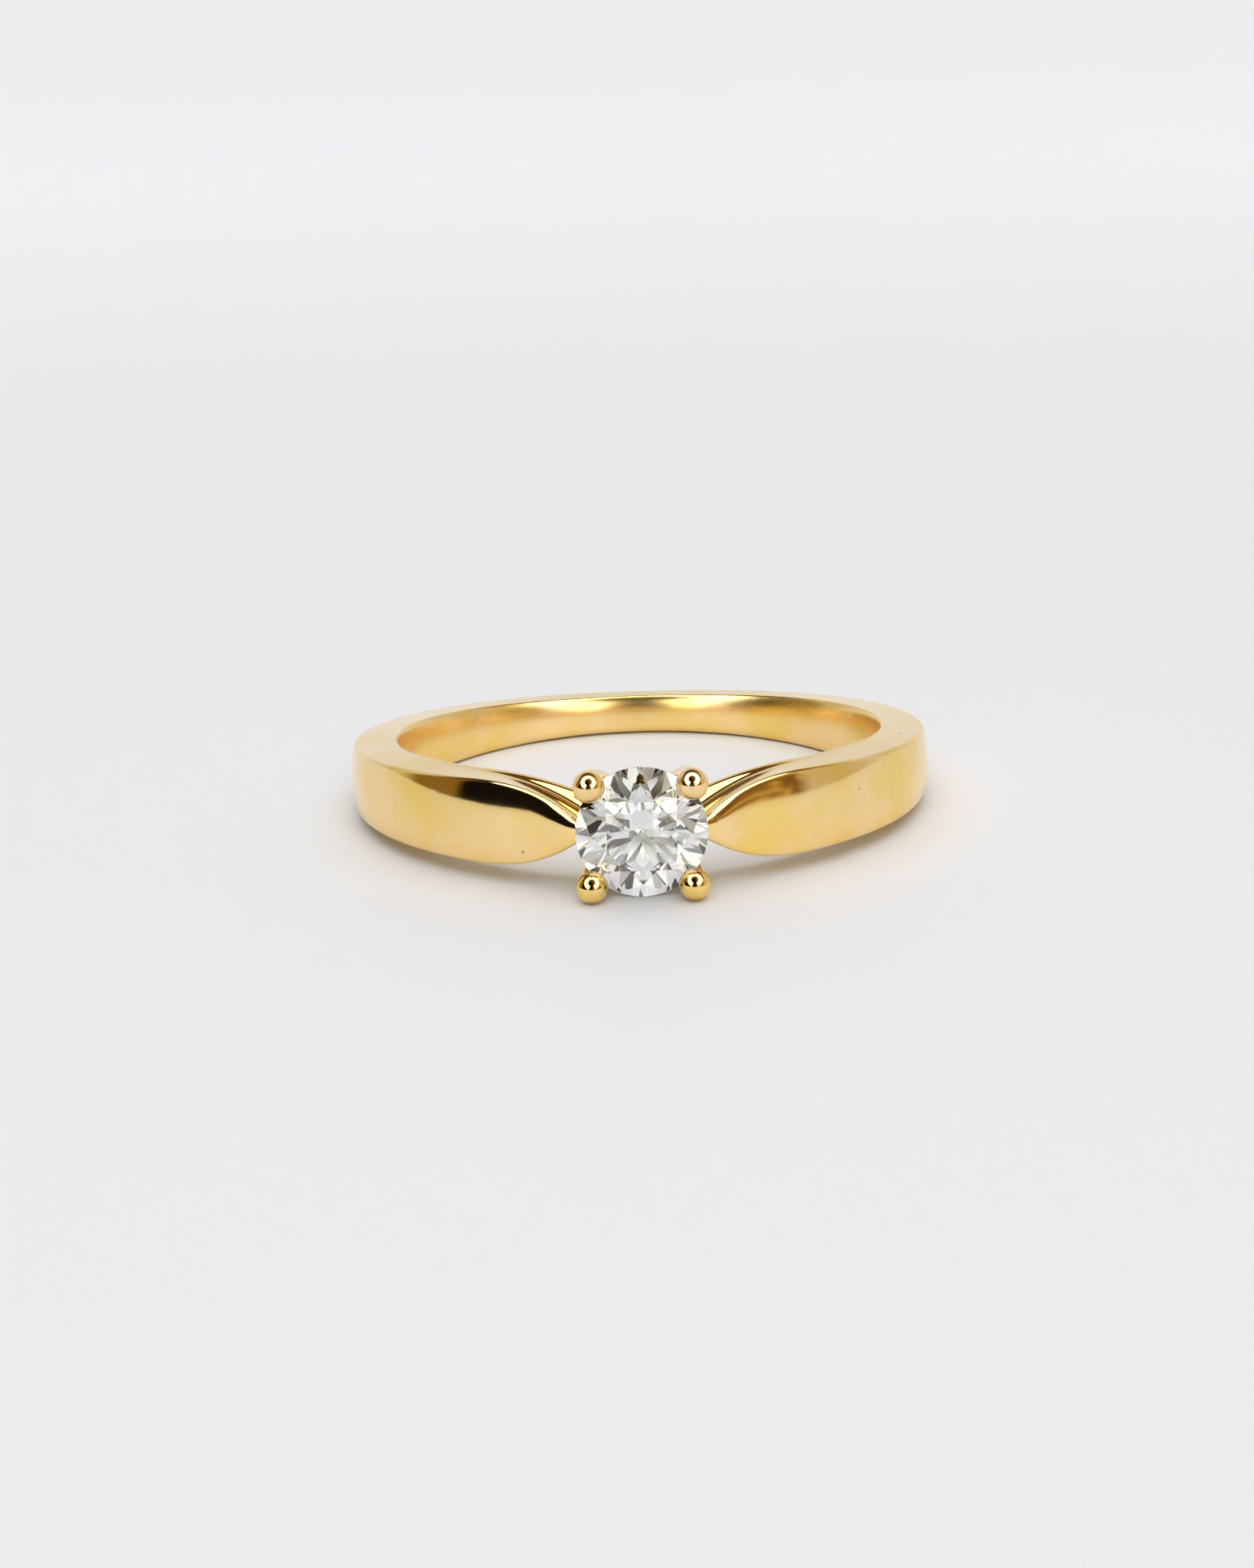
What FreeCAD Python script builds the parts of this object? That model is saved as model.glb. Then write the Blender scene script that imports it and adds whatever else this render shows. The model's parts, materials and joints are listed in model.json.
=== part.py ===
import FreeCAD, Part
import os
import Sketcher
from math import asin, cos, radians, sqrt, tan

# A solitaire engagement ring. Millimetres.
# The finger hole's axis is Z, its centre at mid-width is the origin, and the stone faces -Y.
# "Height" means distance from the finger hole's axis towards the stone, along -Y.
# "Reach" means distance from the head's own axis, which is the Y axis.

V = FreeCAD.Vector

SIZES = {
    # finger hole and band
    "finger_radius": 8.45,
    "band_edge_radius": 10.08,     # rim of the outer face, at the sides of the ring
    "back_thinning": 0.42,         # how much nearer the finger that rim lies at the back
    "shoulder_half_width": 1.39,
    "back_half_width": 0.70,
    "taper_rounding": 0.20,        # eases the width taper through its narrowest place
    "crown_curve_radius": 5.5,     # the outer face's curve across the band
    "tip_curve_radius": 1.2,       # the same curve where the shoulders end
    "flank_lean": 0.10,            # how much wider the band is at the finger than at its rim
    "root_depth": 0.30,            # the sections start this far inside the finger hole
    # pinched shoulders
    "pinch_tip_angle": 8.6,
    "pinch_full_angle": 36.0,
    "pinch_power": 2.8,
    "finger_side_pinch": 0.63,
    "finger_side_power": 1.8,
    "tip_half_width": 0.06,
    "tip_rise": 0.77,
    # cove cut along each flank, beside a ledge that follows the finger hole
    "ledge_width": 0.30,
    "cove_least_run": 0.10,
    "cove_run": 0.75,              # how far the cove runs in, for each millimetre of its depth
    "cove_depth": 0.42,
    "thinnest_half": 0.12,
    # stone, a round brilliant
    "stone_radius": 2.14,
    "girdle_height": 10.78,
    "girdle_thickness": 0.13,
    "table_ratio": 0.57,
    "crown_angle": 34.5,
    "pavilion_angle": 40.8,
    "star_length": 0.50,
    "lower_half_length": 0.77,
    # claws
    "claw_wire_radius": 0.42,
    "claw_reach": 2.345,           # wire's centre line, level with the girdle
    "claw_curve_radius": 2.90,
    "claw_upright_height": 11.0,   # where the wire's curve turns upright
    "claw_foot_height": 8.72,
    "ball_radius": 0.52,
    "ball_height": 11.34,
    # rings of the head
    "rail_reach": 1.55,
    "rail_height": 9.70,
    "rail_wire_radius": 0.30,
    "collar_inner_radius": 0.95,
    "collar_outer_radius": 1.50,
    "collar_top": 8.95,
    # fits
    "seam": 0.05,                  # thickness of a solder seam
    "stone_gap": 0.015,            # between the stone and the notches that hold it
    "head_slope_reach": 2.08,      # the shank ends clear the stone along this slope
    "head_slope_height": 10.60,
}

# Angles round the band, from the stone to the back, where its section is drawn.
STATIONS = [8, 12, 16, 21, 27, 35, 48, 70, 100, 140, 180]
CLAWS = {"claw_top_right": 45, "claw_top_left": 135, "claw_bottom_left": 225, "claw_bottom_right": 315}

doc = FreeCAD.newDocument("engagement_ring")
sheet = doc.addObject("Spreadsheet::Sheet", "Size")


def set_cell(row, alias, value):
    sheet.set("A%d" % row, alias)
    sheet.set("B%d" % row, repr(round(value, 5)))
    sheet.setAlias("B%d" % row, alias)


def smooth_step(t):
    t = min(1.0, max(0.0, t))
    return t * t * (3 - 2 * t)


def band_section(angle):
    """Sizes of the band's section, in the plane through the finger axis at this angle from the stone."""
    s = SIZES
    nearness = (180 - angle) / 140
    rounding = s["taper_rounding"]
    taper = (sqrt(nearness**2 + rounding**2) - rounding) / (sqrt(1 + rounding**2) - rounding)
    half_width = s["back_half_width"] + (s["shoulder_half_width"] - s["back_half_width"]) * taper

    pinch = (s["pinch_full_angle"] - angle) / (s["pinch_full_angle"] - s["pinch_tip_angle"])
    pinch = min(1.0, max(0.0, pinch))
    edge_half = max(s["tip_half_width"], half_width * (1 - pinch ** s["pinch_power"]))
    lean = s["flank_lean"] * smooth_step((angle - 30) / 25) * smooth_step((170 - angle) / 60)
    inner_half = (half_width + lean) * (1 - s["finger_side_pinch"] * pinch ** s["finger_side_power"])

    edge_radius = s["band_edge_radius"] - s["back_thinning"] * smooth_step((angle - 100) / 80)
    edge_radius += s["tip_rise"] * max(0.0, (45 - angle) / 35) ** 4

    slope = (edge_half - inner_half) / (edge_radius - s["finger_radius"])
    cove = s["cove_depth"] * min(1.0, max(0.0, (60 - angle) / 50)) ** 3
    ledge_radius = s["finger_radius"] + s["ledge_width"]
    crease_radius = ledge_radius + s["cove_least_run"] + s["cove_run"] * cove
    tip_curve = s["tip_curve_radius"]
    crease_half = inner_half + slope * (crease_radius - s["finger_radius"]) - cove
    return {
        "inner_half": inner_half,
        "ledge_radius": ledge_radius,
        "ledge_half": inner_half + slope * (ledge_radius - s["finger_radius"]),
        "crease_radius": crease_radius,
        "crease_half": max(s["thinnest_half"], crease_half),
        "edge_radius": edge_radius,
        "edge_half": edge_half,
        "crown_radius": tip_curve + (s["crown_curve_radius"] - tip_curve) * smooth_step((angle - 11) / 12),
    }


for row, alias in enumerate(SIZES, start=1):
    set_cell(row, alias, SIZES[alias])
row = len(SIZES) + 1
for angle in STATIONS:
    for name, value in band_section(angle).items():
        set_cell(row, "%s_at_%d" % (name, angle), value)
        row += 1
doc.recompute()


def value_of(expression):
    """The number that an expression of sheet cells has now. Angles are in degrees."""
    return float(sheet.evalExpression(expression))


def origin_part(body, role):
    return next(item for item in body.Origin.OriginFeatures if item.Role == role)


def new_body(name):
    body = doc.addObject("PartDesign::Body", name)
    body.Label = name
    return body


def new_sketch(body, name, role, turn=0.0, lift=0.0):
    """A sketch on an origin plane, turned about its own vertical or lifted off the plane."""
    sketch = body.newObject("Sketcher::SketchObject", name)
    sketch.AttachmentSupport = [(origin_part(body, role), "")]
    sketch.MapMode = "FlatFace"
    sketch.AttachmentOffset = FreeCAD.Placement(V(0, 0, lift), FreeCAD.Rotation(V(0, 1, 0), turn))
    return sketch


def constrain(sketch, size, kind, *where):
    """Adds a dimension and binds it to its expression."""
    index = sketch.addConstraint(Sketcher.Constraint(kind, *where, value_of(size)))
    sketch.setExpression("Constraints[%d]" % index, size)


def pin_point(sketch, edge, end, x, y):
    """Dimensions a point from the sketch's origin. A coordinate of "0" lies on the axis itself."""
    for kind, size, axis in (("DistanceX", x, -2), ("DistanceY", y, -1)):
        if size == "0":
            sketch.addConstraint(Sketcher.Constraint("PointOnObject", edge, end, axis))
        else:
            constrain(sketch, size, kind, -1, 1, edge, end)


def draw_outline(sketch, points, bulging_edge=None, bulge_radius=None):
    """A closed outline through (x, y) expressions. One edge can be an arc that bulges outwards."""
    places = [V(value_of(x), value_of(y), 0) for x, y in points]
    count = len(points)
    for i, start in enumerate(places):
        end = places[(i + 1) % count]
        if i == bulging_edge:
            half, radius = abs(start.y - end.y) / 2, value_of(bulge_radius)
            crest = V(start.x + radius - sqrt(radius**2 - half**2), 0, 0)
            sketch.addGeometry(Part.Arc(end, crest, start), False)
        else:
            sketch.addGeometry(Part.LineSegment(start, end), False)

    # an arc runs anticlockwise, so the bulging edge starts where the outline leaves it
    def ends(i):
        return (2, 1) if i == bulging_edge else (1, 2)

    for i in range(count):
        following = (i + 1) % count
        sketch.addConstraint(Sketcher.Constraint("Coincident", i, ends(i)[1], following, ends(following)[0]))
    for i, (x, y) in enumerate(points):
        pin_point(sketch, i, ends(i)[0], x, y)
    if bulge_radius:
        constrain(sketch, bulge_radius, "Radius", bulging_edge)


def draw_circle(sketch, x, y, radius):
    centre = V(value_of(x), value_of(y), 0)
    edge = sketch.addGeometry(Part.Circle(centre, V(0, 0, 1), value_of(radius)), False)
    constrain(sketch, radius, "Radius", edge)
    pin_point(sketch, edge, 3, x, y)


def checked(body, feature, cuts):
    """Recomputes, and stops the build if a feature has changed the body's volume the wrong way."""
    before = feature.BaseFeature.Shape.Volume if feature.BaseFeature else 0.0
    doc.recompute()
    after = feature.Shape.Volume
    if (after >= before) if cuts else (after <= before):
        raise RuntimeError("%s: %s has no effect" % (body.Label, feature.Name))
    return feature


def cut_through(body, name, profile):
    """Cuts a profile right through the body, both ways."""
    pocket = body.newObject("PartDesign::Pocket", name)
    pocket.Profile = profile
    pocket.Type = "ThroughAll"
    pocket.Midplane = True
    return checked(body, pocket, cuts=True)


def cut_finger_hole(body, role):
    sketch = new_sketch(body, body.Label + "_finger_circle", role)
    draw_circle(sketch, "0", "0", "Size.finger_radius")
    doc.recompute()
    return cut_through(body, body.Label + "_finger_hole", sketch)


def combine(kind, name, base, tool):
    result = doc.addObject("Part::" + kind, name)
    result.Label = name
    result.Base = base
    result.Tool = tool
    return result


def gather(kind, name, pieces):
    result = doc.addObject("Part::" + kind, name)
    result.Label = name
    if kind == "Compound":
        result.Links = pieces
    else:
        result.Shapes = pieces
    return result


# ---- shank ------------------------------------------------------------------------------------------

def draw_station(body, angle, side):
    """The band's section: a flat finger side, flanks in three faces and a curved outer face."""
    name = "section_%s_%d" % (side, angle)
    turn = angle - 90 if side == "right" else -angle - 90
    sketch = new_sketch(body, name, "XZ_Plane", turn=turn)
    here = "Size.%s_at_" + str(angle)
    flank = [
        ("Size.finger_radius - Size.root_depth", here % "inner_half"),
        ("Size.finger_radius", here % "inner_half"),
        (here % "ledge_radius", here % "ledge_half"),
        (here % "crease_radius", here % "crease_half"),
        (here % "edge_radius", here % "edge_half"),
    ]
    mirrored = [(x, "-" + y) for x, y in reversed(flank)]
    draw_outline(sketch, flank + mirrored, len(flank) - 1, here % "crown_radius")
    return sketch


def make_shank_blank():
    body = new_body("shank_blank")
    sketches = [draw_station(body, angle, "right") for angle in STATIONS]
    sketches += [draw_station(body, angle, "left") for angle in reversed(STATIONS[:-1])]
    doc.recompute()
    loft = body.newObject("PartDesign::AdditiveLoft", "band")
    loft.Profile = sketches[0]
    loft.Sections = sketches[1:]
    checked(body, loft, cuts=False)
    cut_finger_hole(body, "XY_Plane")
    return body


# ---- head: its own frame has the head's axis as +Z, and is then laid over to point along -Y -----------

HEAD = FreeCAD.Placement(V(0, 0, 0), FreeCAD.Rotation(V(1, 0, 0), 90))


def spin(body, profile):
    """A full turn of a sketch about the head's axis."""
    feature = body.newObject("PartDesign::Revolution", body.Label + "_turn")
    feature.Profile = profile
    feature.ReferenceAxis = (profile, ["V_Axis"])
    feature.Angle = 360
    checked(body, feature, cuts=False)
    body.Placement = HEAD
    return body


def spun_outline(name, points):
    """A body turned from (reach, height) expressions."""
    body = new_body(name)
    sketch = new_sketch(body, name + "_outline", "XZ_Plane")
    draw_outline(sketch, points)
    doc.recompute()
    return spin(body, sketch)


def box_outline(inner, outer, bottom, top):
    return [(inner, bottom), (outer, bottom), (outer, top), (inner, top)]


def make_rail(name, radius):
    body = new_body(name)
    sketch = new_sketch(body, name + "_wire", "XZ_Plane")
    draw_circle(sketch, "Size.rail_reach", "Size.rail_height", radius)
    doc.recompute()
    return spin(body, sketch)


def make_claw_blank(name, azimuth):
    """Round wire that leans out from its foot, turns upright beside the stone and ends in a ball."""
    body = new_body(name + "_blank")
    path = new_sketch(body, name + "_path", "XZ_Plane")
    centre_x = "Size.claw_reach - Size.claw_curve_radius"
    centre = V(value_of(centre_x), value_of("Size.claw_upright_height"), 0)
    drop = value_of("Size.claw_upright_height - Size.claw_foot_height")
    bend = Part.Circle(centre, V(0, 0, 1), value_of("Size.claw_curve_radius"))
    arc = path.addGeometry(Part.ArcOfCircle(bend, -asin(drop / bend.Radius), 0), False)
    turn_point = V(centre.x + bend.Radius, centre.y, 0)
    ball_centre = V(turn_point.x, value_of("Size.ball_height"), 0)
    line = path.addGeometry(Part.LineSegment(turn_point, ball_centre), False)
    pin_point(path, arc, 3, centre_x, "Size.claw_upright_height")
    constrain(path, "Size.claw_curve_radius", "Radius", arc)
    constrain(path, "Size.claw_foot_height", "DistanceY", -1, 1, arc, 1)
    constrain(path, "Size.claw_upright_height", "DistanceY", -1, 1, arc, 2)
    path.addConstraint(Sketcher.Constraint("Coincident", arc, 2, line, 1))
    path.addConstraint(Sketcher.Constraint("Vertical", line))
    constrain(path, "Size.ball_height", "DistanceY", -1, 1, line, 2)

    wire = new_sketch(body, name + "_wire", "XY_Plane", lift=value_of("Size.ball_height"))
    wire.setExpression("AttachmentOffset.Base.z", "Size.ball_height")
    draw_circle(wire, "Size.claw_reach", "0", "Size.claw_wire_radius")
    doc.recompute()
    pipe = body.newObject("PartDesign::AdditivePipe", name + "_pipe")
    pipe.Profile = wire
    pipe.Spine = (path, ["Edge1", "Edge2"])
    checked(body, pipe, cuts=False)

    ball = body.newObject("PartDesign::AdditiveSphere", name + "_ball")
    ball.AttachmentSupport = [(origin_part(body, "XY_Plane"), "")]
    ball.MapMode = "FlatFace"
    ball.setExpression("Radius", "Size.ball_radius")
    ball.setExpression("AttachmentOffset.Base.x", "Size.claw_reach")
    ball.setExpression("AttachmentOffset.Base.z", "Size.ball_height")
    checked(body, ball, cuts=False)
    body.Placement = HEAD * FreeCAD.Placement(V(0, 0, 0), FreeCAD.Rotation(V(0, 0, 1), azimuth))
    return body


def make_diamond():
    """A round brilliant: a cylinder, cut by five rings of facets as a stone is."""
    stone = SIZES["stone_radius"]
    crown_slope = tan(radians(SIZES["crown_angle"]))
    pavilion_slope = tan(radians(SIZES["pavilion_angle"]))
    half_step, quarter_step = cos(radians(22.5)), cos(radians(11.25))
    rim_top = SIZES["girdle_height"] + SIZES["girdle_thickness"] / 2
    rim_bottom = rim_top - SIZES["girdle_thickness"]
    table_corner = stone * SIZES["table_ratio"]
    table_height = rim_top + (stone - table_corner) * crown_slope
    culet_height = rim_bottom - stone * pavilion_slope

    # where a star, two kites and two girdle facets meet, and its like on the pavilion
    table_flat = table_corner * half_step
    star_tip = table_flat + (stone - table_flat) * SIZES["star_length"]
    star_tip_rise = (stone - star_tip * half_step) * crown_slope
    lower_tip = stone * (1 - SIZES["lower_half_length"])
    lower_tip_drop = (stone - lower_tip * half_step) * pavilion_slope
    rim_chord = stone * quarter_step

    star_slope = (table_height - rim_top - star_tip_rise) / (star_tip - table_flat)
    upper_slope = star_tip_rise / (rim_chord - star_tip * quarter_step)
    lower_slope = lower_tip_drop / (rim_chord - lower_tip * quarter_step)

    outline = box_outline("0", "Size.stone_radius", repr(culet_height), repr(table_height))
    body = spun_outline("diamond", outline)
    rings = (
        ("kites", 8, 22.5, stone, rim_top, crown_slope),
        ("stars", 8, 0.0, table_flat, table_height, star_slope),
        ("upper_girdle_facets", 16, 11.25, rim_chord, rim_top, upper_slope),
        ("pavilion_mains", 8, 22.5, stone, rim_bottom, -pavilion_slope),
        ("lower_girdle_facets", 16, 11.25, rim_chord, rim_bottom, -lower_slope),
    )
    for name, count, azimuth, reach, height, slope in rings:
        cut_facets(body, name, count, azimuth, reach, height, slope)
    return body


def cut_facets(body, name, count, azimuth, reach, height, slope):
    """Cuts one flat facet through (reach, height), then repeats it round the stone."""
    run = 2 * SIZES["stone_radius"]
    outside = (reach + run, height - slope * run)
    inside = (reach - run, height + slope * run)
    corner = (outside[0], inside[1])
    sketch = new_sketch(body, name + "_outline", "XZ_Plane", turn=azimuth)
    draw_outline(sketch, [(repr(x), repr(y)) for x, y in (outside, corner, inside)])
    doc.recompute()
    facet = cut_through(body, name + "_first", sketch)
    ring = body.newObject("PartDesign::PolarPattern", name)
    ring.Originals = [facet]
    ring.Axis = (origin_part(body, "Z_Axis"), [""])
    ring.Angle = 360
    ring.Occurrences = count
    body.Tip = ring
    doc.recompute()
    if ring.Shape.Volume >= facet.Shape.Volume:
        raise RuntimeError(name + " cut nothing")


shank_blank = make_shank_blank()
diamond = make_diamond()

gallery_rail = make_rail("gallery_rail", "Size.rail_wire_radius")
rail_space = make_rail("rail_space", "Size.rail_wire_radius + Size.seam")

below_hole = "Size.collar_top - 1"
seam_reach = "Size.collar_outer_radius + Size.seam"
seam_top = "Size.collar_top + Size.seam"
base_collar = spun_outline("base_collar", box_outline(
    "Size.collar_inner_radius", "Size.collar_outer_radius", below_hole, "Size.collar_top"))
cut_finger_hole(base_collar, "XZ_Plane")
collar_space = spun_outline("collar_space", box_outline("0", seam_reach, below_hole, seam_top))
collar_jacket = spun_outline("collar_jacket", box_outline(
    "Size.collar_outer_radius", seam_reach, below_hole, seam_top))

# the notches that hold the stone follow its outline at a small gap
gap = "Size.stone_gap / cos(Size.crown_angle)"
rim_reach = "Size.stone_radius + Size.stone_gap"
stone_space = spun_outline("stone_space", [
    ("0", "Size.girdle_height - Size.girdle_thickness / 2 - %s - (%s) * tan(Size.pavilion_angle)"
     % (gap, rim_reach)),
    (rim_reach, "Size.girdle_height - Size.girdle_thickness / 2 - " + gap),
    (rim_reach, "Size.girdle_height + Size.girdle_thickness / 2 + " + gap),
    ("0", "Size.girdle_height + Size.girdle_thickness / 2 + %s + (%s) * tan(Size.crown_angle)"
     % (gap, rim_reach)),
])

# the shank's ends stop at the collar and slope away from the stone
head_room = spun_outline("head_room", [
    ("0", below_hole),
    (seam_reach, below_hole),
    (seam_reach, seam_top),
    ("Size.head_slope_reach", "Size.head_slope_height"),
    ("Size.head_slope_reach + 1", "Size.head_slope_height + 0.5"),
    ("0", "Size.head_slope_height + 0.5"),
])
trimmed_shank = combine("Cut", "trimmed_shank", shank_blank, head_room)
shank = combine("Cut", "shank", trimmed_shank, rail_space)

claw_blanks = [make_claw_blank(name, azimuth) for name, azimuth in CLAWS.items()]
head_spaces = gather("MultiFuse", "head_spaces", [rail_space, collar_space, stone_space])
claws = [combine("Cut", name, blank, head_spaces) for name, blank in zip(CLAWS, claw_blanks)]

# solder seams: what fills the gap between two pieces, as wide as the piece that was let in
all_blanks = gather("Compound", "all_claw_blanks", claw_blanks)
seams = [
    combine("Common", "solder_shank_to_collar", shank_blank, collar_jacket),
    combine("Cut", "solder_shank_to_rail",
            combine("Common", "shank_at_rail", trimmed_shank, rail_space), gallery_rail),
    combine("Cut", "solder_claws_to_rail",
            combine("Common", "claws_at_rail", all_blanks, rail_space), gallery_rail),
    combine("Cut", "solder_claws_to_collar",
            combine("Common", "claws_at_collar", all_blanks, collar_space), base_collar),
]
doc.recompute()

nodes = {item.Label: (item, 1) for item in [shank, gallery_rail, base_collar, diamond, *claws]}
nodes.update({item.Label: (item, count) for item, count in zip(seams, (2, 2, 4, 4))})

for item in doc.Objects:
    if any(state in ("Invalid", "Error") for state in item.State):
        raise RuntimeError("%s failed: %s" % (item.Label, item.State))
for name, (item, solids) in nodes.items():
    shape = item.Shape
    print("%-24s %d solid(s) %3d faces %9.4f mm3" % (name, len(shape.Solids), len(shape.Faces), shape.Volume))
    if shape.isNull() or not shape.isValid() or len(shape.Solids) != solids:
        raise RuntimeError(name + " has a bad shape")

os.makedirs("parts", exist_ok=True)
for name, (item, solids) in nodes.items():
    item.Shape.exportStep("parts/%s.step" % name)
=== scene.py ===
import json
from math import asin, atan2, cos, hypot, pi, radians, sin, sqrt, tan

import bmesh
import bpy
from mathutils import Matrix, Vector

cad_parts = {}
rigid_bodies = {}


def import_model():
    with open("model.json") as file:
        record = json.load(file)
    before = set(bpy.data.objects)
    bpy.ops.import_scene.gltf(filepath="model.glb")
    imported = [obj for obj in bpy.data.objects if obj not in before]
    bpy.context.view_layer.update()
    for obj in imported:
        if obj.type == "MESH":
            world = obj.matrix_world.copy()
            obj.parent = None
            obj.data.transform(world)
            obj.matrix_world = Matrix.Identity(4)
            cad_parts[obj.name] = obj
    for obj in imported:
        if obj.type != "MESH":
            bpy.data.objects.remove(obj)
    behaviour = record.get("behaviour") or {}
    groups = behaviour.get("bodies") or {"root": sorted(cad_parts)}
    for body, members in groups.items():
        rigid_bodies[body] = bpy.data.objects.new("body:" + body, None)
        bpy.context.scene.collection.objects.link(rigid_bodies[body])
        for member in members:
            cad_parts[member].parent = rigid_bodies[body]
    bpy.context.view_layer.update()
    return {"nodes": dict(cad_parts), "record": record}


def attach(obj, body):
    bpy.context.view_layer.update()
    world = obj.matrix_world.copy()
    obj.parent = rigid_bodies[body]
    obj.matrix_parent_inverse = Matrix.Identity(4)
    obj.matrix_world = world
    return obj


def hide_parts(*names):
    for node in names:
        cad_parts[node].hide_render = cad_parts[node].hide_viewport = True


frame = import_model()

MM = 0.001

# The ring's own frame: the finger hole's axis is Z and the stone faces -Y. Sizes below are in
# millimetres. "Height" runs from the finger hole's axis towards the stone, along -Y, and "reach" is
# the distance from the head's own axis.

FINGER_RADIUS = frame["record"]["mounts"][0]["dims"]["r_mm"]

# band and shoulders
BAND_EDGE_RADIUS = 10.08
BACK_THINNING = 0.42
SHOULDER_HALF_WIDTH = 1.39
BACK_HALF_WIDTH = 0.70
TAPER_ROUNDING = 0.20
CROWN_CURVE_RADIUS = 5.5
TIP_CURVE_RADIUS = 1.2
FLANK_LEAN = 0.10
PINCH_TIP_ANGLE = 8.6
PINCH_FULL_ANGLE = 36.0
PINCH_POWER = 2.8
FINGER_SIDE_PINCH = 0.63
FINGER_SIDE_POWER = 1.8
TIP_HALF_WIDTH = 0.06
TIP_RISE = 0.77
LEDGE_WIDTH = 0.30
COVE_LEAST_RUN = 0.10
COVE_RUN = 0.75
COVE_DEPTH = 0.42
THINNEST_HALF = 0.12
COMFORT_SWELL = 0.13
COMFORT_DEPTH = 0.30
RIM_ROUNDING = 0.12
BACK_RIM_ROUNDING = 0.10
LEDGE_ROUNDING = 0.10
CREASE_ROUNDING = 0.22
EDGE_ROUNDING = 0.12
FINGER_WEAR_DEPTH = 0.17

# stone
STONE_RADIUS = 2.14
GIRDLE_HEIGHT = 10.78
GIRDLE_THICKNESS = 0.13
TABLE_RATIO = 0.57
CROWN_SLOPE = tan(radians(34.5))
PAVILION_SLOPE = tan(radians(40.8))
STAR_LENGTH = 0.50
LOWER_HALF_LENGTH = 0.77
DIAMOND_INDEX = 2.417

# head
CLAWS = {"claw_top_right": 45, "claw_top_left": 135, "claw_bottom_left": 225, "claw_bottom_right": 315}
CLAW_WIRE_RADIUS = 0.42
CLAW_REACH = 2.345
CLAW_CURVE_RADIUS = 2.90
CLAW_UPRIGHT_HEIGHT = 11.0
CLAW_FOOT_HEIGHT = 8.72
BALL_RADIUS = 0.52
BALL_HEIGHT = 11.34
RAIL_REACH = 1.55
RAIL_HEIGHT = 9.70
RAIL_WIRE_RADIUS = 0.30
COLLAR_INNER_RADIUS = 0.95
COLLAR_OUTER_RADIUS = 1.50
COLLAR_TOP = 8.95
SEAM = 0.05
STONE_GAP = 0.015
HEAD_SLOPE_REACH = 2.08
HEAD_SLOPE_HEIGHT = 10.60


def smooth_step(t):
    t = min(1.0, max(0.0, t))
    return t * t * (3 - 2 * t)


# ---- camera ------------------------------------------------------------------------------------------

CAMERA_DISTANCE = 110 * MM
CAMERA_ELEVATION = 12.2
CAMERA_ROLL = 1.8
LENS = 70.9
SENSOR_WIDTH = 36
SIDE_SHIFT, DOWN_SHIFT = -0.0080, 0.0146    # shares of the frame's longer side


def make_camera():
    elevation, roll = radians(CAMERA_ELEVATION), radians(CAMERA_ROLL)
    back = Vector((0, -cos(elevation), sin(elevation)))
    level = Vector((1, 0, 0))
    over = back.cross(level)
    right = cos(roll) * level - sin(roll) * over
    up = sin(roll) * level + cos(roll) * over
    data = bpy.data.cameras.new("camera")
    data.lens = LENS
    data.sensor_width = SENSOR_WIDTH
    data.shift_x = SIDE_SHIFT
    data.shift_y = -DOWN_SHIFT
    data.clip_start, data.clip_end = 0.005, 20
    camera = bpy.data.objects.new("camera", data)
    bpy.context.scene.collection.objects.link(camera)
    camera.matrix_world = Matrix((
        (right.x, up.x, back.x, back.x * CAMERA_DISTANCE),
        (right.y, up.y, back.y, back.y * CAMERA_DISTANCE),
        (right.z, up.z, back.z, back.z * CAMERA_DISTANCE),
        (0, 0, 0, 1),
    ))
    bpy.context.scene.camera = camera


make_camera()


# ---- meshes ------------------------------------------------------------------------------------------

def add_object(name, mesh):
    piece = bpy.data.objects.new(name, mesh)
    bpy.context.scene.collection.objects.link(piece)
    return piece


def skin(name, rings, closed_along=False, cap_start=False, cap_end=False):
    """A smooth surface over rings of points, in millimetres. Each ring closes on itself."""
    around = len(rings[0])
    points = [Vector(point) * MM for ring in rings for point in ring]
    faces = []
    count = len(rings)
    for i in range(count if closed_along else count - 1):
        here, there = i * around, (i + 1) % count * around
        for j in range(around):
            k = (j + 1) % around
            faces.append((here + j, here + k, there + k, there + j))
    if cap_start:
        faces.append(tuple(range(around - 1, -1, -1)))
    if cap_end:
        faces.append(tuple(range((count - 1) * around, count * around)))
    mesh = bpy.data.meshes.new(name)
    mesh.from_pydata(points, [], faces)
    mesh.validate()
    tidy = bmesh.new()
    tidy.from_mesh(mesh)
    bmesh.ops.remove_doubles(tidy, verts=tidy.verts, dist=1e-8)
    bmesh.ops.recalc_face_normals(tidy, faces=tidy.faces)
    tidy.to_mesh(mesh)
    tidy.free()
    mesh.shade_smooth()
    return mesh


def lathe(name, profile, steps=160):
    """Turns a closed (reach, height) profile about the head's axis."""
    rings = []
    for i in range(steps):
        turn = 2 * pi * i / steps
        rings.append([(reach * cos(turn), -height, reach * sin(turn)) for reach, height in profile])
    return skin(name, rings, closed_along=True)


def soften_corner(before, corner, after, reach, steps):
    """Points that round off a corner of an outline, starting this far before it."""
    start = corner + (before - corner).normalized() * min(reach, 0.45 * (before - corner).length)
    end = corner + (after - corner).normalized() * min(reach, 0.45 * (after - corner).length)
    shares = [i / steps for i in range(steps + 1)]
    return [start * (1 - t) ** 2 + corner * 2 * t * (1 - t) + end * t * t for t in shares]


# ---- shank -------------------------------------------------------------------------------------------

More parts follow.
